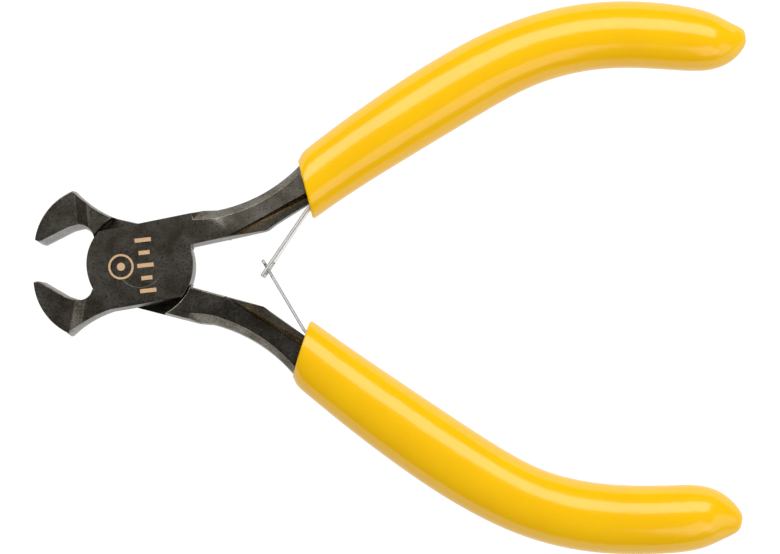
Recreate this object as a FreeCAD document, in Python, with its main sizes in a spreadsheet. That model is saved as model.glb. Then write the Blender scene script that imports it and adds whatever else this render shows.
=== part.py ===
# End-cutting flush cutter: two identical forged halves on a riveted lap joint,
# dipped plastic grips and two interlocking leaf springs.
#
# Frame: the origin is on the pivot axis, in the plane of the rear joint face.
# +X runs along the tool towards the handles, +Y towards the upper handle and
# +Z out of the front joint face. The springs hold the tool open in this pose.
#
# Each half is drawn closed, about its own middle plane, with its jaw below the
# X axis and its handle above it. Its Placement then turns it open.
import FreeCAD, Part
import math
import os
import Sketcher
from FreeCAD import Placement, Rotation, Vector

SIZES = {
    # the whole tool
    "half_open": 11.2,         # degrees each half turns from closed to its rest
    "joint_half": 4.0,         # half the thickness of the joint
    "jaw_half": 5.5,           # half the length of the cutting edge
    "draft": 3.5,              # forging draft of the side walls, degrees
    # jaw, drawn at the level of its side faces
    "jaw_reach": 16.4,         # pivot to cutting edge
    "edge_gap": 0.02,          # cutting edge to the middle line when closed
    "land": 0.8,               # width of the face that meets the other jaw
    "nose_radius": 9.5,
    "heel_back": 12.5,
    "heel_drop": 8.6,
    "grind_reach": 20.0,       # the ground faces are cut from out here
    "grind_clear": 3.0,
    "back_radius": 17.3,
    "back_end": 5.6,
    "bevel_back": 11.9,
    "bevel_drop": 3.1,
    "notch_back": 10.7,
    "notch_drop": 3.75,
    "hollow_radius": 2.1,
    "hollow_drop": 2.5,
    "ramp_reach": 8.9,         # pivot to the top of the ramp, square to it
    "ramp_foot": 7.2,
    "ramp_skew": 18.0,
    # lap joint
    "cheek_radius": 8.15,
    "cheek_width": 5.95,        # pivot to the flat side of the cheek
    "shoulder_gap": 0.25,      # cheek to the shoulder of the other half
    "lap_gap": 0.05,
    "rivet_radius": 2.4,
    "rivet_head": 3.5,
    "rivet_sink": 1.3,
    "rivet_gap": 0.03,
    # shank, drawn at the same level as the jaw
    "crotch_rise": 1.8,
    "crotch_wall": 1.15,
    "bend_reach": 19.6,
    "bend_rise": 2.3,
    "shank_end_reach": 27.1,   # inner corner of the shank's end, inside the grip
    "shank_end_rise": 5.4,
    "shank_back_reach": 26.5,  # outer corner of the same end
    "shank_back_rise": 10.75,
    "shank_top": 6.15,
    "shank_step": 13.0,
    "shank_curve": 24.0,
    "knuckle_reach": 10.8,
    "knuckle_top": 6.45,
    "facet_reach": 11.3,       # pivot to the end of the flat joint face, square to it
    "facet_foot": 13.2,
    "facet_end": 24.0,
    "facet_skew": 48.0,
    "facet_half": 3.7,
    "shank_half": 3.2,
    "bevel_level": 1.6,        # lowest edge of the shank's bevels
    "back_bevel": 35.0,        # degrees from the pivot axis
    "back_bevel_shift": 0.5,
    "inner_bevel": 40.0,
    "inner_bevel_start": 16.0,
    "inner_bevel_start_rise": 0.65,
    "inner_bevel_end_rise": 5.05,
    "tang_width": 5.6,
    "tang_half": 2.7,
    "tang_end_reach": 60.0,
    "tang_end_rise": 21.7,
    "tang_curve": 240.0,
    # line along the middle of the grip
    "mouth_reach": 26.4,
    "mouth_rise": 7.5,
    "waist_reach": 56.0,
    "waist_rise": 20.5,
    "crown_reach": 72.3,
    "crown_rise": 23.5,
    "tail_reach": 86.8,
    "tail_rise": 21.2,
    "tip_reach": 98.4,
    "tip_rise": 18.0,
    # grip
    "grip_mouth_width": 9.3,
    "grip_mouth_thickness": 9.0,
    "grip_width": 10.7,
    "grip_thickness": 10.0,
    "grip_tail_width": 10.2,
    "grip_tail_thickness": 9.6,
    "grip_neck_width": 10.0,
    "grip_neck_thickness": 9.8,
    "grip_tip_width": 3.0,
    "grip_tip_thickness": 2.9,
    # springs: places near the end of a leaf are counted from the leaves' crossing
    "leaf_thickness": 0.45,
    "leaf_width": 5.2,
    "leaf_root": 26.85,
    "leaf_root_rise": 4.4,
    "leaf_bend": 46.6,         # leaf to the X axis in the closed drawing, degrees
    "flexure": 1.7,            # root to the point the leaf turns about
    "flexure_gap": 0.12,
    "leaf_crossing": 11.35,    # root to the point where the leaves cross
    "leaf_overrun": 1.35,
    "window_start": -1.45,
    "window_stop": 0.7,
    "window_width": 3.0,
    "neck_start": -1.45,
    "neck_stop": 0.7,
    "neck_width": 2.4,
    "head_length": 0.7,
    "foot_length": 10.0,
    "foot_rivet_place": 6.0,
    "foot_rivet_radius": 0.9,
    "foot_rivet_depth": 4.0,
    "foot_rivet_head": 1.5,
    "foot_rivet_cap": 0.4,
    "foot_room_gap": 0.05,
}

doc = FreeCAD.newDocument("flush_cutter")
sheet = doc.addObject("Spreadsheet::Sheet", "sizes")
for row, (alias, number) in enumerate(SIZES.items(), start=1):
    sheet.set("A%d" % row, alias)
    sheet.set("B%d" % row, str(number))
    sheet.setAlias("B%d" % row, alias)
doc.recompute()


def size(alias):
    """Value of a named size; a leading minus turns it round, and "0" is zero.

    A derived size comes as its value and the expression that works it out.
    """
    if isinstance(alias, tuple):
        return alias[0]
    if alias == "0":
        return 0.0
    if alias.startswith("-"):
        return -sheet.get(alias[1:])
    return float(sheet.get(alias))


def bound(alias):
    """The same size as an expression that a feature can be bound to."""
    if isinstance(alias, tuple):
        return alias[1]
    if alias.startswith("-"):
        return "-sizes." + alias[1:]
    return "sizes." + alias


def plane(body, role):
    return next(item for item in body.Origin.OriginFeatures if item.Role == role)


def new_sketch(body, name, role="XY_Plane", offset=None):
    sketch = body.newObject("Sketcher::SketchObject", name)
    sketch.AttachmentSupport = [(plane(body, role), "")]
    sketch.MapMode = "FlatFace"
    if offset is not None:
        sketch.AttachmentOffset = offset
    return sketch


def arc_between(start, end, radius, side):
    """Minor arc from start to end; side +1 bulges to the right of the way it goes."""
    chord = end - start
    middle = (start + end) * 0.5
    left = Vector(-chord.y, chord.x, 0).normalize()
    depth = math.sqrt(radius ** 2 - (chord.Length / 2) ** 2)
    centre = middle + left * (side * depth)
    crest = centre - left * (side * radius)
    return Part.Arc(start, crest, end)


def draw_outline(sketch, steps, closed=True):
    """Chain of lines and arcs through named points.

    A step is (x, y) or (x, y, radius, side): the second form makes the stretch
    from that point to the next one an arc.
    """
    points = [Vector(size(step[0]), size(step[1]), 0) for step in steps]
    stretches = len(steps) if closed else len(steps) - 1
    for index in range(stretches):
        step, start, end = steps[index], points[index], points[(index + 1) % len(steps)]
        if len(step) == 4:
            edge = arc_between(start, end, size(step[2]), step[3])
        else:
            edge = Part.LineSegment(start, end)
        sketch.addGeometry(edge, False)
    ends = [end_points(sketch, index, points[index]) for index in range(stretches)]
    for index in range(stretches):
        following = (index + 1) % len(steps)
        if following < stretches:
            sketch.addConstraint(Sketcher.Constraint(
                "Coincident", index, ends[index][1], following, ends[following][0]))
    for index in range(len(steps)):
        edge, spot = (index, ends[index][0]) if index < stretches else (index - 1, ends[-1][1])
        pin(sketch, "DistanceX", edge, spot, steps[index][0], points[index].x)
        pin(sketch, "DistanceY", edge, spot, steps[index][1], points[index].y)
    for index in range(stretches):
        if len(steps[index]) == 4:
            row = sketch.addConstraint(Sketcher.Constraint("Radius", index, size(steps[index][2])))
            sketch.setExpression("Constraints[%d]" % row, bound(steps[index][2]))


def end_points(sketch, index, start):
    """Numbers of an edge's first and last point, as seen along the outline."""
    reversed_arc = (sketch.getPoint(index, 1) - start).Length > 1e-6
    return (2, 1) if reversed_arc else (1, 2)


def pin(sketch, kind, edge, spot, alias, number):
    if alias == "0":
        axis = -2 if kind == "DistanceX" else -1
        sketch.addConstraint(Sketcher.Constraint("PointOnObject", edge, spot, axis))
        return
    row = sketch.addConstraint(Sketcher.Constraint(kind, -1, 1, edge, spot, number))
    sketch.setExpression("Constraints[%d]" % row, bound(alias))


def draw_circle(sketch, alias, extra=""):
    index = sketch.addGeometry(Part.Circle(Vector(0, 0, 0), Vector(0, 0, 1), size(alias)), False)
    sketch.addConstraint(Sketcher.Constraint("Coincident", index, 3, -1, 1))
    row = sketch.addConstraint(Sketcher.Constraint("Radius", index, size(alias)))
    sketch.setExpression("Constraints[%d]" % row, bound(alias) + extra)


def chord_reach(rise, sign):
    """X where the edge of the cheek's circle is at this height."""
    number = math.sqrt(size("cheek_radius") ** 2 - size(rise) ** 2)
    return (sign * number, "%d * sqrt(sizes.cheek_radius^2 - (%s)^2)" % (sign, bound(rise)))


def drafted(alias):
    """A side wall's place at the parting plane, where the draft has brought it further out."""
    lean = math.tan(math.radians(size("draft")))
    return (size(alias) + size("jaw_half") * lean,
            "%s + sizes.jaw_half * tan(sizes.draft * 1deg)" % bound(alias))


def forging_outline():
    """The whole half, closed, at the level of the jaw's side faces."""
    land_end = (size("land") - size("jaw_reach"), "sizes.land - sizes.jaw_reach")
    return [
        ("-jaw_reach", "-edge_gap", "nose_radius", 1),
        ("-heel_back", "-heel_drop", "back_radius", -1),
        ("-back_end", "-cheek_width"),
        (chord_reach("cheek_width", 1), "-cheek_width", "cheek_radius", 1),
        (chord_reach("crotch_rise", 1), "crotch_rise"),
        ("bend_reach", "bend_rise"),
        ("shank_end_reach", "shank_end_rise"),
        ("shank_back_reach", "shank_back_rise", "shank_curve", -1),
        ("shank_step", "shank_top"),
        ("knuckle_reach", "knuckle_top"),
        (chord_reach("cheek_width", -1), "cheek_width", "cheek_radius", 1),
        (chord_reach("hollow_drop", -1), "-hollow_drop", "hollow_radius", -1),
        ("-notch_back", "-notch_drop"),
        ("-bevel_back", "-bevel_drop"),
        (land_end, "-edge_gap"),
    ]


def side_offset(degrees):
    """Turns a sketch on the XZ plane about the pivot axis."""
    return Placement(Vector(0, 0, 0), Rotation(Vector(0, 1, 0), degrees))


def flipped(steps):
    """The same outline on the other side of the sketch's X axis."""
    return [(x, opposite(y)) for x, y in steps]


def opposite(alias):
    if isinstance(alias, tuple):
        return (-alias[0], "-(%s)" % alias[1])
    return alias[1:] if alias.startswith("-") else "-" + alias


def beyond(alias, clear="grind_clear"):
    """A coordinate that lies clear of the size it is beyond."""
    return (size(alias) + size(clear), "%s + sizes.%s" % (bound(alias), clear))


def pocket(body, name, sketch):
    cut = body.newObject("PartDesign::Pocket", name)
    cut.Profile = sketch
    cut.Type = "ThroughAll"
    cut.Midplane = True
    return cut


def cut_sides(body, name, skew, steps):
    """Cuts the same profile from the front and the rear side of the half."""
    for side, outline in (("front", steps), ("rear", flipped(steps))):
        sketch = new_sketch(body, "%s_%s_outline" % (name, side), "XZ_Plane", side_offset(skew))
        draw_outline(sketch, outline)
        pocket(body, "%s_%s" % (name, side), sketch)


def forge(body):
    """Blank with drafted walls on both sides of the parting plane."""
    level = Placement(Vector(0, 0, size("jaw_half")), Rotation())
    sketch = new_sketch(body, "forging_outline", offset=level)
    sketch.setExpression(".AttachmentOffset.Base.z", "sizes.jaw_half")
    draw_outline(sketch, forging_outline())
    pad = body.newObject("PartDesign::Pad", "front_forging")
    pad.Profile = sketch
    pad.Reversed = True
    pad.setExpression("Length", "sizes.jaw_half")
    pad.setExpression("TaperAngle", "sizes.draft")
    mirrored = body.newObject("PartDesign::Mirrored", "rear_forging")
    mirrored.Originals = [pad]
    mirrored.MirrorPlane = (plane(body, "XY_Plane"), [""])
    body.Tip = mirrored


def tang_start():
    """Direction of the tang where it leaves the shank, in degrees."""
    run = size("tang_end_reach") - size("mouth_reach")
    rise = size("tang_end_rise") - size("mouth_rise")
    half_turn = math.asin(math.hypot(run, rise) / 2 / size("tang_curve"))
    return math.degrees(math.atan2(rise, run) + half_turn)


def draw_tang(body):
    path = new_sketch(body, "tang_path")
    draw_outline(path, [("mouth_reach", "mouth_rise", "tang_curve", -1),
                        ("tang_end_reach", "tang_end_rise")], closed=False)
    square_on = Rotation(Vector(0, 0, 1), tang_start()) * Rotation(Vector(1, 1, 1), 120)
    start = Placement(Vector(size("mouth_reach"), size("mouth_rise"), 0), square_on)
    section = new_sketch(body, "tang_section", offset=start)
    half_width = (size("tang_width") / 2, "sizes.tang_width / 2")
    draw_outline(section, [(half_width, "tang_half"), (opposite(half_width), "tang_half"),
                           (opposite(half_width), "-tang_half"), (half_width, "-tang_half")])
    pipe = body.newObject("PartDesign::AdditivePipe", "tang")
    pipe.Profile = section
    pipe.Spine = path
    body.Tip = pipe


def mill_joint(body):
    """Round cheek, ground land and nose, and the pocket for the other cheek."""
    flat = drafted("cheek_width")
    jaw_side = new_sketch(body, "cheek_jaw_side")
    draw_outline(jaw_side, [
        (chord_reach(flat, -1), flat, "cheek_radius", 1),
        (chord_reach("hollow_drop", -1), "-hollow_drop"),
        ("-notch_back", "-hollow_drop"),
        ("-notch_back", "-edge_gap"),
        ("-grind_reach", "-edge_gap"),
        ("-grind_reach", "grind_reach"),
        (chord_reach(flat, -1), "grind_reach")])
    pocket(body, "jaw_side_milling", jaw_side)
    handle_side = new_sketch(body, "cheek_handle_side")
    draw_outline(handle_side, [
        (chord_reach(flat, 1), opposite(flat), "cheek_radius", 1),
        (chord_reach("crotch_wall", 1), "crotch_wall"),
        ("grind_reach", "crotch_wall"),
        ("grind_reach", "-grind_reach"),
        (chord_reach(flat, 1), "-grind_reach")])
    pocket(body, "handle_side_milling", handle_side)
    nose = new_sketch(body, "nose_grinding")
    draw_outline(nose, [
        ("-jaw_reach", "-edge_gap", "nose_radius", 1),
        ("-heel_back", "-heel_drop"),
        ("-notch_back", "-grind_reach"),
        ("-grind_reach", "-grind_reach"),
        ("-grind_reach", "grind_clear"),
        ("-jaw_reach", "grind_clear")])
    pocket(body, "ground_nose", nose)
    seat = new_sketch(body, "lap_circle", offset=Placement(Vector(0, 0, size("lap_gap") / 2), Rotation()))
    seat.setExpression(".AttachmentOffset.Base.z", "sizes.lap_gap / 2")
    draw_circle(seat, "cheek_radius", " + sizes.shoulder_gap")
    cut = body.newObject("PartDesign::Pocket", "lap_pocket")
    cut.Profile = seat
    cut.Type = "ThroughAll"


def level_sides(body):
    """Flat joint faces with a ramp up to the jaw, and a thinner shank."""
    cut_sides(body, "joint_face", -size("ramp_skew"), [
        ("-ramp_reach", beyond("jaw_half")),
        ("-ramp_reach", "jaw_half"),
        ("-ramp_foot", "joint_half"),
        (beyond("facet_end", "tang_end_reach"), "joint_half"),
        (beyond("facet_end", "tang_end_reach"), beyond("jaw_half"))])
    cut_sides(body, "shank_face", size("facet_skew"), [
        ("facet_reach", beyond("joint_half")),
        ("facet_reach", "joint_half"),
        ("facet_foot", "facet_half"),
        ("facet_end", "shank_half"),
        (beyond("facet_end", "tang_end_reach"), "shank_half"),
        (beyond("facet_end", "tang_end_reach"), beyond("joint_half"))])


def shifted(alias, shift):
    """A coordinate moved by another size."""
    return (size(alias) + size(shift), "%s + sizes.%s" % (bound(alias), shift))


def bevel_sides(body, name, angle, outline):
    """Leaning cut along the shank, on its front and its rear side."""
    for side, level, sign in (("front", "bevel_level", 1), ("rear", "-bevel_level", -1)):
        height = Placement(Vector(0, 0, size(level)), Rotation())
        sketch = new_sketch(body, "%s_%s_outline" % (name, side), offset=height)
        sketch.setExpression(".AttachmentOffset.Base.z", bound(level))
        draw_outline(sketch, outline)
        cut = body.newObject("PartDesign::Pocket", "%s_%s" % (name, side))
        cut.Profile = sketch
        cut.Reversed = sign > 0
        cut.setExpression("Length", "sizes.jaw_half")
        cut.setExpression("TaperAngle", "sizes." + angle)


def bevel_shank(body):
    bevel_sides(body, "back_bevel", "back_bevel", [
        ("shank_back_reach", shifted("shank_back_rise", "back_bevel_shift"), "shank_curve", -1),
        ("shank_step", shifted("shank_top", "back_bevel_shift")),
        ("knuckle_reach", shifted("knuckle_top", "back_bevel_shift")),
        ("knuckle_reach", "grind_reach"),
        ("shank_back_reach", "grind_reach")])
    bevel_sides(body, "inner_bevel", "inner_bevel", [
        ("inner_bevel_start", "inner_bevel_start_rise"),
        ("inner_bevel_start", "-grind_clear"),
        ("shank_end_reach", "-grind_clear"),
        ("shank_end_reach", "inner_bevel_end_rise")])


def bore(body, turns):
    """Countersunk rivet hole, with running clearance in the half that turns."""
    hole = new_sketch(body, "rivet_hole", "XZ_Plane")
    shaft = beyond("rivet_radius", "rivet_gap") if turns else "rivet_radius"
    head = beyond("rivet_head", "rivet_gap") if turns else "rivet_head"
    sink = (size("joint_half") - size("rivet_sink"), "sizes.joint_half - sizes.rivet_sink")
    top = beyond("joint_half")
    draw_outline(hole, [("0", "0"), (shaft, "0"), (shaft, sink), (head, "joint_half"),
                        (head, top), ("0", top)])
    groove = body.newObject("PartDesign::Groove", "rivet_bore")
    groove.Profile = hole
    groove.ReferenceAxis = (hole, ["V_Axis"])
    groove.Angle = 360


def make_half(label, placement, turns):
    body = doc.addObject("PartDesign::Body", label)
    body.Label = label
    forge(body)
    draw_tang(body)
    mill_joint(body)
    level_sides(body)
    bevel_shank(body)
    bore(body, turns)
    drill_tang(body)
    body.Placement = placement
    return body


def make_rivet():
    """Pivot rivet, closed flush into the countersinks of both cheeks."""
    body = doc.addObject("PartDesign::Body", "pivot_rivet")
    sketch = new_sketch(body, "rivet_outline", "XZ_Plane")
    sink = (size("joint_half") - size("rivet_sink"), "sizes.joint_half - sizes.rivet_sink")
    draw_outline(sketch, [
        ("0", "-joint_half"), ("rivet_head", "-joint_half"), ("rivet_radius", opposite(sink)),
        ("rivet_radius", sink), ("rivet_head", "joint_half"), ("0", "joint_half")])
    turned_profile = body.newObject("PartDesign::Revolution", "rivet_body")
    turned_profile.Profile = sketch
    turned_profile.ReferenceAxis = (sketch, ["V_Axis"])
    turned_profile.Angle = 360
    body.Placement = middle
    return body


def leaf_place():
    """Where a leaf turns on its half, in the half's closed drawing: X runs along the leaf."""
    root = Vector(size("leaf_root"), size("leaf_root_rise"), 0)
    along = Rotation(Vector(0, 0, 1), 180 + size("leaf_bend"))
    return Placement(root, along) * Placement(Vector(size("flexure"), 0, 0), Rotation())


def flat_leaf(label, placement):
    """Body whose XY plane is the middle plane of a leaf, with X along the leaf."""
    body = doc.addObject("PartDesign::Body", label)
    stand = Placement(Vector(0, 0, 0), Rotation(Vector(1, 0, 0), 90))
    body.Placement = placement * leaf_place() * stand
    return body


def press_leaf(body, name, outline):
    sketch = new_sketch(body, name + "_outline")
    draw_outline(sketch, outline)
    pad = body.newObject("PartDesign::Pad", name)
    pad.Profile = sketch
    pad.Midplane = True
    pad.setExpression("Length", "sizes.leaf_thickness")


def half_of(alias):
    return (size(alias) / 2, "sizes.%s / 2" % alias)


def leaf_station(*aliases):
    """Distance from the flexure point to a place counted along the leaf from its root."""
    number = sum(size(alias) for alias in aliases) - size("flexure")
    return (number, " + ".join("sizes." + alias for alias in aliases) + " - sizes.flexure")


def make_window_leaf(placement):
    body = flat_leaf("upper_spring_leaf", placement)
    edge = half_of("leaf_width")
    end = leaf_station("leaf_crossing", "leaf_overrun")
    press_leaf(body, "leaf", [("flexure_gap", edge), ("flexure_gap", opposite(edge)),
                              (end, opposite(edge)), (end, edge)])
    window = new_sketch(body, "window_outline")
    side = half_of("window_width")
    near = leaf_station("leaf_crossing", "window_start")
    far = leaf_station("leaf_crossing", "window_stop")
    draw_outline(window, [(near, side), (near, opposite(side)), (far, opposite(side)), (far, side)])
    pocket(body, "window", window)
    return body


def make_necked_leaf(placement):
    body = flat_leaf("lower_spring_leaf", placement)
    edge = half_of("leaf_width")
    side = half_of("neck_width")
    near = leaf_station("leaf_crossing", "neck_start")
    far = leaf_station("leaf_crossing", "neck_stop")
    end = leaf_station("leaf_crossing", "neck_stop", "head_length")
    press_leaf(body, "leaf", [
        ("flexure_gap", edge), ("flexure_gap", opposite(edge)), (near, opposite(edge)),
        (near, opposite(side)), (far, opposite(side)), (far, opposite(edge)),
        (end, opposite(edge)), (end, edge), (far, edge), (far, side), (near, side), (near, edge)])
    return body


def foot_place():
    """Where a spring foot lies on the inner wall of the tang; Y points into the tang."""
    turn = Rotation(Vector(0, 0, 1), tang_start())
    wall = Vector(size("mouth_reach"), size("mouth_rise"), 0)
    wall += turn.multVec(Vector(0, -size("tang_width") / 2, 0))
    further = size("foot_length")
    sag = further ** 2 / 2 / (size("tang_curve") + size("tang_width") / 2)
    lean = -math.degrees(math.atan2(sag, further))
    return Placement(wall, turn * Rotation(Vector(0, 0, 1), lean))


def press_foot(body, name, offset, outline):
    sketch = new_sketch(body, name + "_outline", offset=offset)
    draw_outline(sketch, outline)
    pad = body.newObject("PartDesign::Pad", name)
    pad.Profile = sketch
    pad.Midplane = True
    pad.setExpression("Length", "sizes.leaf_width")


def make_foot(label, placement):
    """The part of a leaf spring that is riveted to the tang, up to its flexure."""
    body = doc.addObject("PartDesign::Body", label)
    body.Placement = placement
    place = foot_place()
    root = Vector(size("leaf_root"), size("leaf_root_rise"), 0)
    heel = place.inverse().multVec(root).x
    press_foot(body, "strip", place, [
        ((heel, "%g" % heel), "0"), ((heel, "%g" % heel), "-leaf_thickness"),
        ("foot_length", "-leaf_thickness"), ("foot_length", "0")])
    bend = new_sketch(body, "bend_outline", offset=Placement(root, Rotation()))
    draw_circle(bend, "leaf_thickness", " / 2")
    pad = body.newObject("PartDesign::Pad", "bend")
    pad.Profile = bend
    pad.Midplane = True
    pad.setExpression("Length", "sizes.leaf_width")
    along = Rotation(Vector(0, 0, 1), 180 + size("leaf_bend"))
    stub_end = (size("flexure") - size("flexure_gap"), "sizes.flexure - sizes.flexure_gap")
    face = half_of("leaf_thickness")
    press_foot(body, "stub", Placement(root, along), [
        ("0", face), ("0", opposite(face)), (stub_end, opposite(face)), (stub_end, face)])
    hole = new_sketch(body, "rivet_hole", offset=rivet_place())
    draw_circle(hole, "foot_rivet_radius")
    pocket(body, "rivet_bore", hole)
    return body


def rivet_place():
    """Middle of the foot's rivet on the wall of the tang; Z points out of the tang."""
    along = Vector(size("foot_rivet_place"), 0, 0)
    return foot_place() * Placement(along, Rotation(Vector(1, 0, 0), 90))


def drill_tang(body):
    hole = new_sketch(body, "foot_rivet_hole", offset=rivet_place())
    draw_circle(hole, "foot_rivet_radius")
    cut = body.newObject("PartDesign::Pocket", "foot_rivet_bore")
    cut.Profile = hole
    cut.setExpression("Length", "sizes.foot_rivet_depth")


def make_foot_rivet(label, placement):
    body = doc.addObject("PartDesign::Body", label)
    body.Placement = placement * rivet_place()
    sketch = new_sketch(body, "rivet_outline", "XZ_Plane")
    cap = (size("leaf_thickness") + size("foot_rivet_cap"),
           "sizes.leaf_thickness + sizes.foot_rivet_cap")
    draw_outline(sketch, [
        ("0", "-foot_rivet_depth"), ("foot_rivet_radius", "-foot_rivet_depth"),
        ("foot_rivet_radius", "leaf_thickness"), ("foot_rivet_head", "leaf_thickness"),
        ("foot_rivet_head", cap), ("0", cap)])
    turned_profile = body.newObject("PartDesign::Revolution", "rivet_body")
    turned_profile.Profile = sketch
    turned_profile.ReferenceAxis = (sketch, ["V_Axis"])
    turned_profile.Angle = 360
    return body


def grip_line():
    """Smooth line along the middle of a grip, from its mouth to its tip."""
    names = ("mouth", "waist", "crown", "tail", "tip")
    points = [Vector(size(name + "_reach"), size(name + "_rise"), 0) for name in names]
    line = Part.BSplineCurve()
    line.interpolate(points)
    return line


def grip_section(name, line, along, width, thickness, placement):
    """Oval across the grip, at a share of the way along its line."""
    parameter = line.parameterAtDistance(line.length() * along, line.FirstParameter)
    direction = line.tangent(parameter)[0]
    turn = math.degrees(math.atan2(direction.y, direction.x))
    oval = doc.addObject("Part::Ellipse", name)
    oval.setExpression("MajorRadius", "sizes.%s / 2" % width)
    oval.setExpression("MinorRadius", "sizes.%s / 2" % thickness)
    across = Rotation(Vector(0, 0, 1), turn) * Rotation(Vector(0, 1, 0), 90)
    across = across * Rotation(Vector(0, 0, 1), 90)
    oval.Placement = placement * Placement(line.value(parameter), across)
    return oval


GRIP_SECTIONS = [
    ("mouth", 0.0, "grip_mouth_width", "grip_mouth_thickness"),
    ("neck", 0.08, "grip_neck_width", "grip_neck_thickness"),
    ("palm", 0.35, "grip_width", "grip_thickness"),
    ("heel", 0.72, "grip_tail_width", "grip_tail_thickness"),
    ("tail", 0.93, "grip_tail_width", "grip_tail_thickness"),
    ("tip", 1.0, "grip_tip_width", "grip_tip_thickness"),
]


def foot_room(label, placement):
    """Room in a grip for the spring's foot and the head of its rivet."""
    room = doc.addObject("Part::Box", label + "_foot_room")
    spare = size("foot_room_gap")
    room.setExpression("Length", "sizes.foot_length + 3 * sizes.flexure")
    room.setExpression("Width", "sizes.leaf_thickness + sizes.foot_rivet_cap + sizes.tang_width / 2")
    room.setExpression("Height", "sizes.leaf_width + 2 * sizes.foot_room_gap")
    depth = size("leaf_thickness") + size("foot_rivet_cap") + spare
    corner = Vector(spare - 3 * size("flexure"), -depth, -size("leaf_width") / 2 - spare)
    room.Placement = placement * foot_place() * Placement(corner, Rotation())
    return room


def make_grip(label, placement, half, foot_rivet):
    """Dipped grip: a loft of ovals less the tang and the room for the spring's foot."""
    line = grip_line()
    loft = doc.addObject("Part::Loft", label + "_outside")
    loft.Sections = [grip_section("%s_%s" % (label, name), line, along, width, thickness, placement)
                     for name, along, width, thickness in GRIP_SECTIONS]
    loft.Solid = True
    filling = doc.addObject("Part::MultiFuse", label + "_filling")
    filling.Shapes = [half, foot_rivet, foot_room(label, placement)]
    grip = doc.addObject("Part::Cut", label)
    grip.Base = loft
    grip.Tool = filling
    return grip


middle = Placement(Vector(0, 0, size("joint_half")), Rotation())
front_open = middle * Placement(Vector(0, 0, 0), Rotation(Vector(0, 0, 1), size("half_open")))
turned_over = Placement(Vector(0, 0, 0), Rotation(Vector(1, 0, 0), 180))
rear_open = middle * Placement(Vector(0, 0, 0), Rotation(Vector(0, 0, 1), -size("half_open")))
rear_open = rear_open * turned_over

front_half = make_half("front_half", front_open, turns=False)
rear_half = make_half("rear_half", rear_open, turns=True)
rivet = make_rivet()
upper_leaf = make_window_leaf(front_open)
lower_leaf = make_necked_leaf(rear_open)
upper_foot = make_foot("upper_spring_foot", front_open)
lower_foot = make_foot("lower_spring_foot", rear_open)
upper_foot_rivet = make_foot_rivet("upper_spring_rivet", front_open)
lower_foot_rivet = make_foot_rivet("lower_spring_rivet", rear_open)
upper_grip = make_grip("upper_grip", front_open, front_half, upper_foot_rivet)
lower_grip = make_grip("lower_grip", rear_open, rear_half, lower_foot_rivet)

doc.recompute()
NODES = [front_half, rear_half, rivet, upper_grip, lower_grip, upper_foot, lower_foot,
         upper_foot_rivet, lower_foot_rivet, upper_leaf, lower_leaf]


def check_document():
    for item in doc.Objects:
        if "Invalid" in item.State or "Error" in item.State:
            raise RuntimeError("%s did not build: %s" % (item.Label, item.State))
    for node in NODES:
        if node.Shape.isNull() or not node.Shape.isValid():
            raise RuntimeError("%s has no valid shape" % node.Label)


check_document()
os.makedirs("parts", exist_ok=True)
for node in NODES:
    node.Shape.exportStep("parts/%s.step" % node.Label)
    print("%-22s %9.2f mm3  %d solid(s)" % (node.Label, node.Shape.Volume, len(node.Shape.Solids)))
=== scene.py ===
# Flush cutter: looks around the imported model. Lengths in the dictionaries are millimetres.
import math

import bmesh
import bpy
from mathutils import Matrix, Vector


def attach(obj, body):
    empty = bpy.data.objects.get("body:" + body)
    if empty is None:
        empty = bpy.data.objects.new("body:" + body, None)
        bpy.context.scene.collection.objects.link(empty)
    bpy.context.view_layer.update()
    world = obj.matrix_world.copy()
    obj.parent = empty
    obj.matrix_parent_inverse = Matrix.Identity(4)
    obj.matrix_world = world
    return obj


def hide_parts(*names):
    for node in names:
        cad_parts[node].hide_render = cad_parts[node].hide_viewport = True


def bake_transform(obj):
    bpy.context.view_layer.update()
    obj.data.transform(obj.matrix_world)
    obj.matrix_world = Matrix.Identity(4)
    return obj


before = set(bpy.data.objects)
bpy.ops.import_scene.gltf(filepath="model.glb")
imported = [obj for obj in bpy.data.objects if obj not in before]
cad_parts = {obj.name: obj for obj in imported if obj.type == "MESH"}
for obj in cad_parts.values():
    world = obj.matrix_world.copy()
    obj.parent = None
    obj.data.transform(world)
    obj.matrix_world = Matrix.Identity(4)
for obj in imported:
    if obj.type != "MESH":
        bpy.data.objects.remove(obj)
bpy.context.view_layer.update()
scene = bpy.context.scene
mm = 0.001
middle = 4.0             # height of the tool's mid-plane over its rear joint face
print("frame loaded:", len(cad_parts), "nodes")


# meshes
def finishMesh(bm, name, smooth=True):
    mesh = bpy.data.meshes.new(name)
    bm.to_mesh(mesh)
    bm.free()
    for face in mesh.polygons:
        face.use_smooth = smooth
    piece = bpy.data.objects.new(name, mesh)
    scene.collection.objects.link(piece)
    return piece


def roundOff(piece, level):
    smoother = piece.modifiers.new("smoother", "SUBSURF")
    smoother.levels = level
    smoother.render_levels = level


def ringEdges(ring):
    inRing = set(ring)
    return list({edge for vert in ring for edge in vert.link_edges
                 if edge.other_vert(vert) in inRing})


# camera
view = {"target": (38.35, -0.7, middle), "distance": 500.0, "lens": 149.4, "sensor": 36.0,
        "roll": 1.52, "tilt": 3.2, "near": 10.0}


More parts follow.
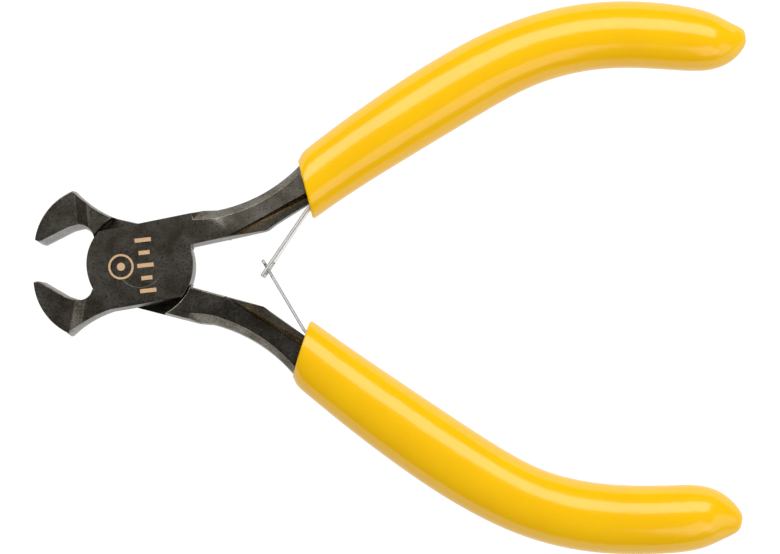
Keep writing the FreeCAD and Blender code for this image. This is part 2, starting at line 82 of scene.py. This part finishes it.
def placeCamera():
    roll, tilt = math.radians(view["roll"]), math.radians(view["tilt"])
    right = Vector((math.cos(roll), math.sin(roll), 0))
    up = Vector((-math.sin(roll), math.cos(roll), 0))
    zenith = Vector((0, 0, 1))
    back = zenith * math.cos(tilt) - up * math.sin(tilt)
    up = up * math.cos(tilt) + zenith * math.sin(tilt)
    camera = bpy.data.objects.new("camera", bpy.data.cameras.new("camera"))
    camera.data.lens = view["lens"]
    camera.data.sensor_width = view["sensor"]
    camera.data.clip_start = view["near"] * mm
    place = Matrix((right, up, back)).transposed().to_4x4()
    place.translation = (Vector(view["target"]) + back * view["distance"]) * mm
    camera.matrix_world = place
    scene.collection.objects.link(camera)
    scene.camera = camera


placeCamera()
print("camera placed")


# node helpers
def newMaterial(name):
    material = bpy.data.materials.new(name)
    material.use_nodes = True
    return material, material.node_tree, material.node_tree.nodes["Principled BSDF"]


def addNode(tree, kind, **values):
    node = tree.nodes.new(kind)
    for key, value in values.items():
        setattr(node, key, value)
    return node


def addRamp(tree, value, low, high, start=0.0, end=1.0):
    ramp = addNode(tree, "ShaderNodeMapRange")
    ramp.inputs["From Min"].default_value = low
    ramp.inputs["From Max"].default_value = high
    ramp.inputs["To Min"].default_value = start
    ramp.inputs["To Max"].default_value = end
    tree.links.new(value, ramp.inputs["Value"])
    return ramp.outputs["Result"]


def addMath(tree, operation, first, second):
    node = addNode(tree, "ShaderNodeMath", operation=operation)
    for socket, value in zip(node.inputs, (first, second)):
        if isinstance(value, (int, float)):
            socket.default_value = value
        else:
            tree.links.new(value, socket)
    return node.outputs[0]


def mixColours(tree, mask, dark, light):
    mix = addNode(tree, "ShaderNodeMix", data_type="RGBA")
    mix.inputs[6].default_value = dark + (1.0,)
    mix.inputs[7].default_value = light + (1.0,)
    tree.links.new(mask, mix.inputs[0])
    return mix.outputs[2]


def addBump(tree, shader, height, strength, distance):
    bump = addNode(tree, "ShaderNodeBump")
    bump.inputs["Strength"].default_value = strength
    bump.inputs["Distance"].default_value = distance * mm
    tree.links.new(height, bump.inputs["Height"])
    tree.links.new(bump.outputs["Normal"], shader.inputs["Normal"])


def placeGrain(tree, coordinates, cloudScale, speckleScale):
    group = addNode(tree, "ShaderNodeGroup", node_tree=grainGroup)
    tree.links.new(coordinates, group.inputs["Vector"])
    group.inputs["Cloud Scale"].default_value = cloudScale
    group.inputs["Speckle Scale"].default_value = speckleScale
    return group


# speckle and cloud of a surface, shared by every finish
def buildGrain():
    group = bpy.data.node_groups.new("grain", "ShaderNodeTree")
    group.interface.new_socket("Vector", in_out="INPUT", socket_type="NodeSocketVector")
    for name in ("Cloud Scale", "Speckle Scale"):
        group.interface.new_socket(name, in_out="INPUT", socket_type="NodeSocketFloat")
    for name in ("Cloud", "Speckle"):
        group.interface.new_socket(name, in_out="OUTPUT", socket_type="NodeSocketFloat")
    source = group.nodes.new("NodeGroupInput")
    result = group.nodes.new("NodeGroupOutput")
    for name, detail, roughness in (("Cloud", 4.0, 0.6), ("Speckle", 2.0, 0.5)):
        noise = group.nodes.new("ShaderNodeTexNoise")
        noise.inputs["Detail"].default_value = detail
        noise.inputs["Roughness"].default_value = roughness
        group.links.new(source.outputs["Vector"], noise.inputs["Vector"])
        group.links.new(source.outputs[name + " Scale"], noise.inputs["Scale"])
        group.links.new(noise.outputs["Fac"], result.inputs[name])
    return group


grainGroup = buildGrain()


# steel: roughness is given for the dark speckles, then for the light ones
blackened = {"name": "blackenedSteel", "dark": (0.085, 0.068, 0.045), "light": (0.31, 0.29, 0.255),
             "roughness": (0.38, 0.24), "cloud": 300.0, "speckle": 2900.0, "bump": 0.015}
# ground steel: the bare walls, and also a painted highlight on the forgings' bevelled corners
ground = {"name": "groundSteelAndEdgeHighlight", "dark": (0.66, 0.63, 0.57), "light": (0.97, 0.95, 0.91),
          "roughness": (0.32, 0.2), "cloud": 420.0, "speckle": 2200.0, "bump": 0.02}
mottling = {"range": (0.35, 0.7), "cloudShare": 0.62, "speckleShare": 0.38, "bumpStrength": 0.5}


def makeSteel(values):
    material, tree, shader = newMaterial(values["name"])
    place = addNode(tree, "ShaderNodeTexCoord").outputs["Object"]
    grain = placeGrain(tree, place, values["cloud"], values["speckle"])
    cloud = addRamp(tree, grain.outputs["Cloud"], *mottling["range"])
    speckle = addRamp(tree, grain.outputs["Speckle"], *mottling["range"])
    mottle = addMath(tree, "ADD", addMath(tree, "MULTIPLY", cloud, mottling["cloudShare"]),
                     addMath(tree, "MULTIPLY", speckle, mottling["speckleShare"]))
    tree.links.new(mixColours(tree, mottle, values["dark"], values["light"]), shader.inputs["Base Color"])
    rough, fine = values["roughness"]
    tree.links.new(addRamp(tree, speckle, 0.0, 1.0, rough, fine), shader.inputs["Roughness"])
    shader.inputs["Metallic"].default_value = 1.0
    addBump(tree, shader, grain.outputs["Speckle"], mottling["bumpStrength"], values["bump"])
    return material


# lengths, steps and places first, then angles in degrees, then the upright part of a face's normal
forgings = {"edge": 0.12, "rivetEdge": 0.04, "soft": 0.6, "softSteps": 4, "edgeSteps": 2,
            "softReach": -7.6, "thinCorner": (-6.3, 5.2), "thinReach": 0.5, "merge": 0.0005,
            "flat": 0.3, "corner": 24.0, "cutting": 104.0, "smooth": 20.0, "flank": 0.4, "level": 0.45}


# every corner but the cutting edges and the thin corner beside the jaw's root, which stay sharp
def corners(bm):
    low, high = math.radians(forgings["corner"]), math.radians(forgings["cutting"])
    return [line for line in bm.edges if line.is_manifold and low < line.calc_face_angle() < high
            and not any(nearThinCorner(vert.co / mm) for vert in line.verts)]


def nearThinCorner(point):
    away = Vector((point.x, abs(point.y))) - Vector(forgings["thinCorner"])
    return away.length < forgings["thinReach"]


def bevelEdges(bm, edges, width, segments):
    return bmesh.ops.bevel(bm, geom=edges, offset=width * mm, offset_type="OFFSET", affect="EDGES",
                           segments=segments, profile=0.5, clamp_overlap=False, material=-1)["faces"]


# a copy of the node with its corners broken: the steep walls bare where they were ground, the bevelled
# corners given the bright ground steel as a painted highlight along the edges, softer between the blackened
# faces
def softenEdges(node, name, body, edge):
    bm = bmesh.new()
    bm.from_mesh(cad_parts[node].data)
    bmesh.ops.remove_doubles(bm, verts=bm.verts, dist=forgings["merge"] * mm)
    bmesh.ops.dissolve_limit(bm, angle_limit=math.radians(forgings["flat"]), verts=bm.verts, edges=bm.edges)
    for face in bm.faces:
        face.material_index = int(abs(face.normal.z) < forgings["flank"])
    soft = [line for line in corners(bm)
            if min(abs(face.normal.z) for face in line.link_faces) > forgings["level"]
            and max(vert.co.x for vert in line.verts) < forgings["softReach"] * mm
            and line.link_faces[0].normal.dot(line.link_faces[1].normal) > 0]
    bevelEdges(bm, soft, forgings["soft"], forgings["softSteps"])
    # the corners' bevels take the bright ground steel: a painted highlight along the edges
    for face in bevelEdges(bm, corners(bm), edge, forgings["edgeSteps"]):
        face.material_index = 1
    for line in bm.edges:
        line.smooth = line.is_manifold and line.calc_face_angle() < math.radians(forgings["smooth"])
    piece = finishMesh(bm, name)
    weighting = piece.modifiers.new("weighting", "WEIGHTED_NORMAL")
    weighting.keep_sharp = True
    piece.data.materials.clear()
    piece.data.materials.append(blackenedSteel)
    piece.data.materials.append(groundSteelAndEdgeHighlight)
    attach(piece, body)
    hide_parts(node)


blackenedSteel = makeSteel(blackened)
groundSteelAndEdgeHighlight = makeSteel(ground)
softenEdges("front_half", "frontForging", "front_half", forgings["edge"])
softenEdges("rear_half", "rearForging", "rear_half", forgings["edge"])
softenEdges("pivot_rivet", "pivotRivet", "front_half", forgings["rivetEdge"])
for name in ("upper_spring_rivet", "lower_spring_rivet"):
    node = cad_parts[name]
    node.data.materials.clear()
    node.data.materials.append(blackenedSteel)
print("steel finished")


# mark
mark = {"face": 8.0, "proud": 0.02, "turn": 98.0, "ringPlace": (-2.9, -0.45), "ringRadius": 1.95,
        "ringWidth": 0.32, "dot": 0.62, "barPlace": (0.85, -0.1), "bars": (2.5, 1.7, 2.5, 1.7, 2.5),
        "barWidth": 0.62, "barStep": 1.95, "ringSides": 48, "dotSides": 32,
        "dark": (0.5, 0.3, 0.16), "light": (0.85, 0.56, 0.33), "roughness": 0.55, "metallic": 0.25,
        "cloud": 700.0, "speckle": 4000.0}


def makeMark():
    material, tree, shader = newMaterial("etchedMark")
    place = addNode(tree, "ShaderNodeTexCoord").outputs["Object"]
    grain = placeGrain(tree, place, mark["cloud"], mark["speckle"])
    tree.links.new(mixColours(tree, grain.outputs["Speckle"], mark["dark"], mark["light"]),
                   shader.inputs["Base Color"])
    shader.inputs["Roughness"].default_value = mark["roughness"]
    shader.inputs["Metallic"].default_value = mark["metallic"]
    bm = bmesh.new()
    outer = bmesh.ops.create_circle(bm, segments=mark["ringSides"], radius=mark["ringRadius"] * mm)["verts"]
    grown = bmesh.ops.extrude_edge_only(bm, edges=ringEdges(outer))["geom"]
    inner = [item for item in grown if isinstance(item, bmesh.types.BMVert)]
    share = 1 - mark["ringWidth"] / mark["ringRadius"]
    bmesh.ops.scale(bm, vec=(share, share, 1), verts=inner)
    bmesh.ops.create_circle(bm, cap_ends=True, segments=mark["dotSides"], radius=mark["dot"] * mm)
    bmesh.ops.translate(bm, vec=Vector(mark["ringPlace"] + (0,)) * mm, verts=bm.verts)
    turn = Matrix.Rotation(math.radians(mark["turn"]), 3, "Z")
    for index, length in enumerate(mark["bars"]):
        bar = bmesh.ops.create_grid(bm, x_segments=1, y_segments=1, size=0.5 * mm)["verts"]
        bmesh.ops.scale(bm, vec=(mark["barWidth"], length, 1), verts=bar)
        along = (index - (len(mark["bars"]) - 1) / 2) * mark["barStep"] * mm
        bmesh.ops.translate(bm, vec=(along, 0, 0), verts=bar)
        bmesh.ops.rotate(bm, cent=(0, 0, 0), matrix=turn, verts=bar)
        bmesh.ops.translate(bm, vec=Vector(mark["barPlace"] + (0,)) * mm, verts=bar)
    bmesh.ops.translate(bm, vec=(0, 0, mark["face"] * mm), verts=bm.verts)
    bmesh.ops.recalc_face_normals(bm, faces=bm.faces)
    for face in bm.faces:
        if face.normal.z < 0:
            face.normal_flip()
    etched = finishMesh(bm, "etchedMark", smooth=False)
    skin = etched.modifiers.new("skin", "SOLIDIFY")
    skin.thickness = 2 * mark["proud"] * mm
    skin.offset = 0.0
    etched.data.materials.append(material)
    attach(etched, "front_half")


makeMark()
print("mark made")


# grips
vinyl = {"body": (0.97, 0.555, 0.0), "deep": (0.95, 0.515, 0.0), "cloudRange": (0.3, 0.75),
         "cloud": 110.0, "speckle": 900.0, "speckleShare": 0.04, "roughness": 0.17, "gloss": 0.68,
         "wave": 0.5, "waveStrength": 0.25}
gripRing = {"segments": 24, "level": 2, "thickness": 0.94, "tip": [0.94, 0.82, 0.72, 0.7]}
upperGrip = {  # (x, y, width) along the middle line, then the headings of the first rings
    "line": [(24.85, 12.55, 9.7), (26.4, 14.0, 9.65), (28.5, 15.6, 9.65), (33.0, 18.95, 10.1),
             (37.8, 22.3, 10.5), (42.7, 25.65, 10.8), (47.6, 28.8, 10.9), (52.6, 31.9, 10.75),
             (57.9, 34.6, 10.45), (63.5, 36.55, 10.45), (69.2, 37.7, 10.4), (75.1, 38.05, 10.35),
             (81.0, 37.75, 10.2), (84.6, 37.35, 9.75), (87.3, 37.1, 8.9), (89.4, 37.3, 7.2),
             (91.0, 37.75, 4.9), (92.1, 38.1, 2.9), (92.5, 38.15, 1.6)],
    "headings": [16.0, 27.0, 33.0]}
lowerGrip = {
    "line": [(24.95, -12.2, 9.5), (26.5, -13.55, 9.6), (28.75, -15.15, 9.7), (33.8, -18.75, 10.25),
             (38.9, -22.25, 10.7), (44.1, -25.7, 10.95), (49.3, -29.0, 11.05), (54.7, -32.1, 10.85),
             (60.3, -34.75, 10.6), (66.3, -36.4, 10.65), (72.5, -37.15, 10.65), (78.5, -37.15, 10.6),
             (83.6, -36.8, 10.4), (86.7, -36.35, 10.0), (89.3, -36.3, 8.6), (91.3, -36.7, 6.1),
             (92.7, -37.0, 3.9), (93.5, -37.15, 2.0)],
    "headings": [-16.0, -27.0, -33.0]}
mouth = [(1.9, 0.56), (0.5, 0.6), (0.05, 0.74),    # depth, share of the width: the lip turns in
         (0.0, 0.9), (0.1, 0.965), (0.35, 0.985)]


def addRing(bm, place, heading, width, thickness):
    ring = bmesh.ops.create_circle(bm, segments=gripRing["segments"], radius=0.5 * mm)["verts"]
    swell = 3 / (2 + math.cos(math.tau / gripRing["segments"]))   # what the smoothing takes off
    bmesh.ops.scale(bm, vec=(thickness * swell, width * swell, 1), verts=ring)
    turn = Matrix.Rotation(heading, 3, "Z") @ Matrix.Rotation(math.pi / 2, 3, "Y")
    bmesh.ops.rotate(bm, cent=(0, 0, 0), matrix=turn, verts=ring)
    bmesh.ops.translate(bm, vec=Vector((place[0], place[1], middle)) * mm, verts=ring)
    return ring


def makeGrip(name, shape, body):
    bm = bmesh.new()
    line = shape["line"]
    headings = [math.radians(angle) for angle in shape["headings"]]
    for before, after in zip(line[2:], line[4:] + [line[-1]]):
        if len(headings) < len(line):
            headings.append(math.atan2(after[1] - before[1], after[0] - before[0]))
    first, along = line[0], Vector((math.cos(headings[0]), math.sin(headings[0])))
    stations = [(Vector(first[:2]) + along * depth, headings[0], first[2] * share)
                for depth, share in mouth]
    stations += [(Vector(point[:2]), heading, point[2])
                 for point, heading in zip(line[1:], headings[1:])]
    flatter = [1.0] * (len(stations) - len(gripRing["tip"])) + gripRing["tip"]
    rings = [addRing(bm, place, heading, width, width * gripRing["thickness"] * share)
             for (place, heading, width), share in zip(stations, flatter)]
    for before, after in zip(rings, rings[1:]):
        bmesh.ops.bridge_loops(bm, edges=ringEdges(before) + ringEdges(after))
    bmesh.ops.contextual_create(bm, geom=ringEdges(rings[0]))
    bmesh.ops.contextual_create(bm, geom=ringEdges(rings[-1]))
    bmesh.ops.recalc_face_normals(bm, faces=bm.faces)
    grip = finishMesh(bm, name)
    roundOff(grip, gripRing["level"])
    grip.data.materials.append(gripVinyl)
    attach(grip, body)
    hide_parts(name.replace("Vinyl", "_grip"))


def makeVinyl():
    material, tree, shader = newMaterial("dippedVinyl")
    place = addNode(tree, "ShaderNodeTexCoord").outputs["Object"]
    grain = placeGrain(tree, place, vinyl["cloud"], vinyl["speckle"])
    cloud = addRamp(tree, grain.outputs["Cloud"], *vinyl["cloudRange"])
    tree.links.new(mixColours(tree, cloud, vinyl["body"], vinyl["deep"]), shader.inputs["Base Color"])
    shader.inputs["Roughness"].default_value = vinyl["roughness"]
    shader.inputs["Specular IOR Level"].default_value = vinyl["gloss"]
    height = addMath(tree, "ADD", grain.outputs["Cloud"],
                     addMath(tree, "MULTIPLY", grain.outputs["Speckle"], vinyl["speckleShare"]))
    addBump(tree, shader, height, vinyl["waveStrength"], vinyl["wave"])
    return material


gripVinyl = makeVinyl()
makeGrip("upperVinyl", upperGrip, "front_half")
makeGrip("lowerVinyl", lowerGrip, "rear_half")
print("grips made")


# springs
strip = {"width": 5.2, "thickness": 0.45, "root": (25.484, 9.531), "intoGrip": 37.3, "leaf": 237.8,
         "footStops": (11.0, 5.0, 1.2, 0.35), "leafStops": (0.35, 1.2, 2.4, 4.4, 6.4, 8.4), "crossing": 11.35,
         "straight": 2.0, "leaning": 8.0, "blend": (0.2, 3.2), "edge": 0.08, "edgeAngle": 40.0}
windowLeaf = {"name": "upperSpring", "side": 1, "inner": 3.0, "near": -1.45, "far": 0.7, "end": 1.35,
              "cut": "middle", "lean": -0.2, "bodies": ("front_half", "upper_spring_arm"),
              "nodes": ("upper_spring_foot", "upper_spring_leaf")}
neckedLeaf = {"name": "lowerSpring", "side": -1, "inner": 2.4, "near": -1.45, "far": 0.7, "end": 1.4,
              "cut": "edges", "lean": 0.0, "bodies": ("rear_half", "lower_spring_arm"),
              "nodes": ("lower_spring_foot", "lower_spring_leaf")}


def aim(degrees):
    return Vector((math.cos(math.radians(degrees)), math.sin(math.radians(degrees)), 0))


def makeSpring(leaf):
    bm = bmesh.new()
    root = Vector(strip["root"] + (middle - strip["width"] / 2,))
    foot, out = aim(strip["intoGrip"]), aim(strip["leaf"])
    near, far, end = (strip["crossing"] + leaf[key] for key in ("near", "far", "end"))
    stops = [root + foot * step for step in strip["footStops"]]
    stops += [root + out * step for step in strip["leafStops"] + (near, far, end)]
    row = [bm.verts.new(stop * mm) for stop in stops]
    edges = [bm.edges.new(pair) for pair in zip(row, row[1:])]
    margin = (strip["width"] - leaf["inner"]) / 2
    for rise in (margin, leaf["inner"], margin):
        grown = bmesh.ops.extrude_edge_only(bm, edges=edges)["geom"]
        verts = [item for item in grown if isinstance(item, bmesh.types.BMVert)]
        bmesh.ops.translate(bm, vec=(0, 0, rise * mm), verts=verts)
        edges = [item for item in grown if isinstance(item, bmesh.types.BMEdge)
                 and all(vert in verts for vert in item.verts)]
    cut = []
    for face in bm.faces:
        centre = face.calc_center_median() / mm
        along = (centre - root).dot(out)
        inMiddle = abs(centre.z - middle) < leaf["inner"] / 2
        if near < along < far and inMiddle == (leaf["cut"] == "middle"):
            cut.append(face)
    bmesh.ops.delete(bm, geom=cut, context="FACES")
    for vert in bm.verts:   # the leaf with the window leans a little, the other stands straight
        along = (vert.co / mm - root).dot(out)
        share = min(max((along - strip["straight"]) / strip["leaning"], 0), 1)
        rise = (vert.co.z / mm - middle) / strip["width"]
        vert.co.x += leaf["lean"] * share * rise * mm
    bmesh.ops.scale(bm, vec=(1, leaf["side"], 1), verts=bm.verts)
    bmesh.ops.recalc_face_normals(bm, faces=bm.faces)
    spring = finishMesh(bm, leaf["name"])
    wall = spring.modifiers.new("wall", "SOLIDIFY")
    wall.thickness = strip["thickness"] * mm
    wall.offset = 0.0
    wall.use_even_offset = True
    edge = spring.modifiers.new("edge", "BEVEL")
    edge.width = strip["edge"] * mm
    edge.material = 1            # the dark edge, second in the piece's list
    edge.segments = 2
    edge.limit_method = "ANGLE"
    edge.angle_limit = math.radians(strip["edgeAngle"])
    edge.harden_normals = True
    spring.data.materials.append(platedSteel)
    spring.data.materials.append(blackenedSteel)
    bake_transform(spring)
    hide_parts(*leaf["nodes"])


plate = {"dark": (0.9, 0.88, 0.84), "light": (0.98, 0.97, 0.95), "cloud": 400.0, "speckle": 3000.0,
         "range": (0.3, 0.7), "roughness": (0.3, 0.42), "metallic": 0.55}


def makePlate():
    material, tree, shader = newMaterial("platedSpring")
    place = addNode(tree, "ShaderNodeTexCoord").outputs["Object"]
    grain = placeGrain(tree, place, plate["cloud"], plate["speckle"])
    tree.links.new(mixColours(tree, grain.outputs["Cloud"], plate["dark"], plate["light"]),
                   shader.inputs["Base Color"])
    tree.links.new(addRamp(tree, grain.outputs["Speckle"], *plate["range"], *plate["roughness"]),
                   shader.inputs["Roughness"])
    shader.inputs["Metallic"].default_value = plate["metallic"]
    return material


platedSteel = makePlate()
makeSpring(windowLeaf)
makeSpring(neckedLeaf)
print("springs made")


# studio
studio = {"floor": -1.7, "floorSize": 4000.0, "floorCentre": 38.0, "floorColour": 0.1, "floorRoughness": 0.8,
          "floorGlow": 1.0, "floorBounce": 0.78, "surround": 0.02, "backdrop": 1.0, "fill": 0.47}
lamps = [  # name, direction from the tool, distance, size along X, size across, radiance
    ("keyBox", (0.0, 0.588, 0.809), 520.0, 1000.0, 330.0, 2.6),
    ("fillBox", (0.5, -0.57, 0.65), 520.0, 300.0, 300.0, 1.2),
    ("sideBox", (0.86, -0.36, 0.36), 520.0, 420.0, 240.0, 0.9)]


def addLamp(name, direction, distance, length, breadth, radiance):
    lamp = bpy.data.lights.new(name, "AREA")
    lamp.shape = "RECTANGLE"
    lamp.size, lamp.size_y = length * mm, breadth * mm
    lamp.energy = radiance * math.pi * lamp.size * lamp.size_y
    box = bpy.data.objects.new(name, lamp)
    away = Vector(direction).normalized()
    box.rotation_euler = away.to_track_quat("Z", "Y").to_euler()
    box.location = (Vector(view["target"]) + away * distance) * mm
    scene.collection.objects.link(box)


def makeStudio():
    bm = bmesh.new()
    bmesh.ops.create_grid(bm, x_segments=1, y_segments=1, size=studio["floorSize"] / 2 * mm)
    bmesh.ops.translate(bm, vec=Vector((studio["floorCentre"], 0, studio["floor"])) * mm, verts=bm.verts)
    floor = finishMesh(bm, "floor", smooth=False)
    material, tree, shader = newMaterial("paleFloor")
    shader.inputs["Base Color"].default_value = (studio["floorColour"],) * 3 + (1,)
    shader.inputs["Roughness"].default_value = studio["floorRoughness"]
    shader.inputs["Emission Color"].default_value = (1, 1, 1, 1)
    seen = addNode(tree, "ShaderNodeLightPath").outputs["Is Camera Ray"]
    tree.links.new(addRamp(tree, seen, 0.0, 1.0, studio["floorBounce"], studio["floorGlow"]),
                   shader.inputs["Emission Strength"])
    floor.data.materials.append(material)
    world = bpy.data.worlds.new("surround")
    world.use_nodes = True
    scene.world = world
    tree = world.node_tree
    back = tree.nodes["Background"]
    path = addNode(tree, "ShaderNodeLightPath")
    seen = addRamp(tree, path.outputs["Is Camera Ray"], 0.0, 1.0, 0.0, studio["backdrop"])
    soft = addRamp(tree, path.outputs["Is Diffuse Ray"], 0.0, 1.0, studio["surround"], studio["fill"])
    tree.links.new(addMath(tree, "MAXIMUM", seen, soft), back.inputs["Strength"])
    back.inputs["Color"].default_value = (1, 1, 1, 1)
    for lamp in lamps:
        addLamp(*lamp)
    scene.view_settings.view_transform = "Standard"


makeStudio()
print("studio lit")
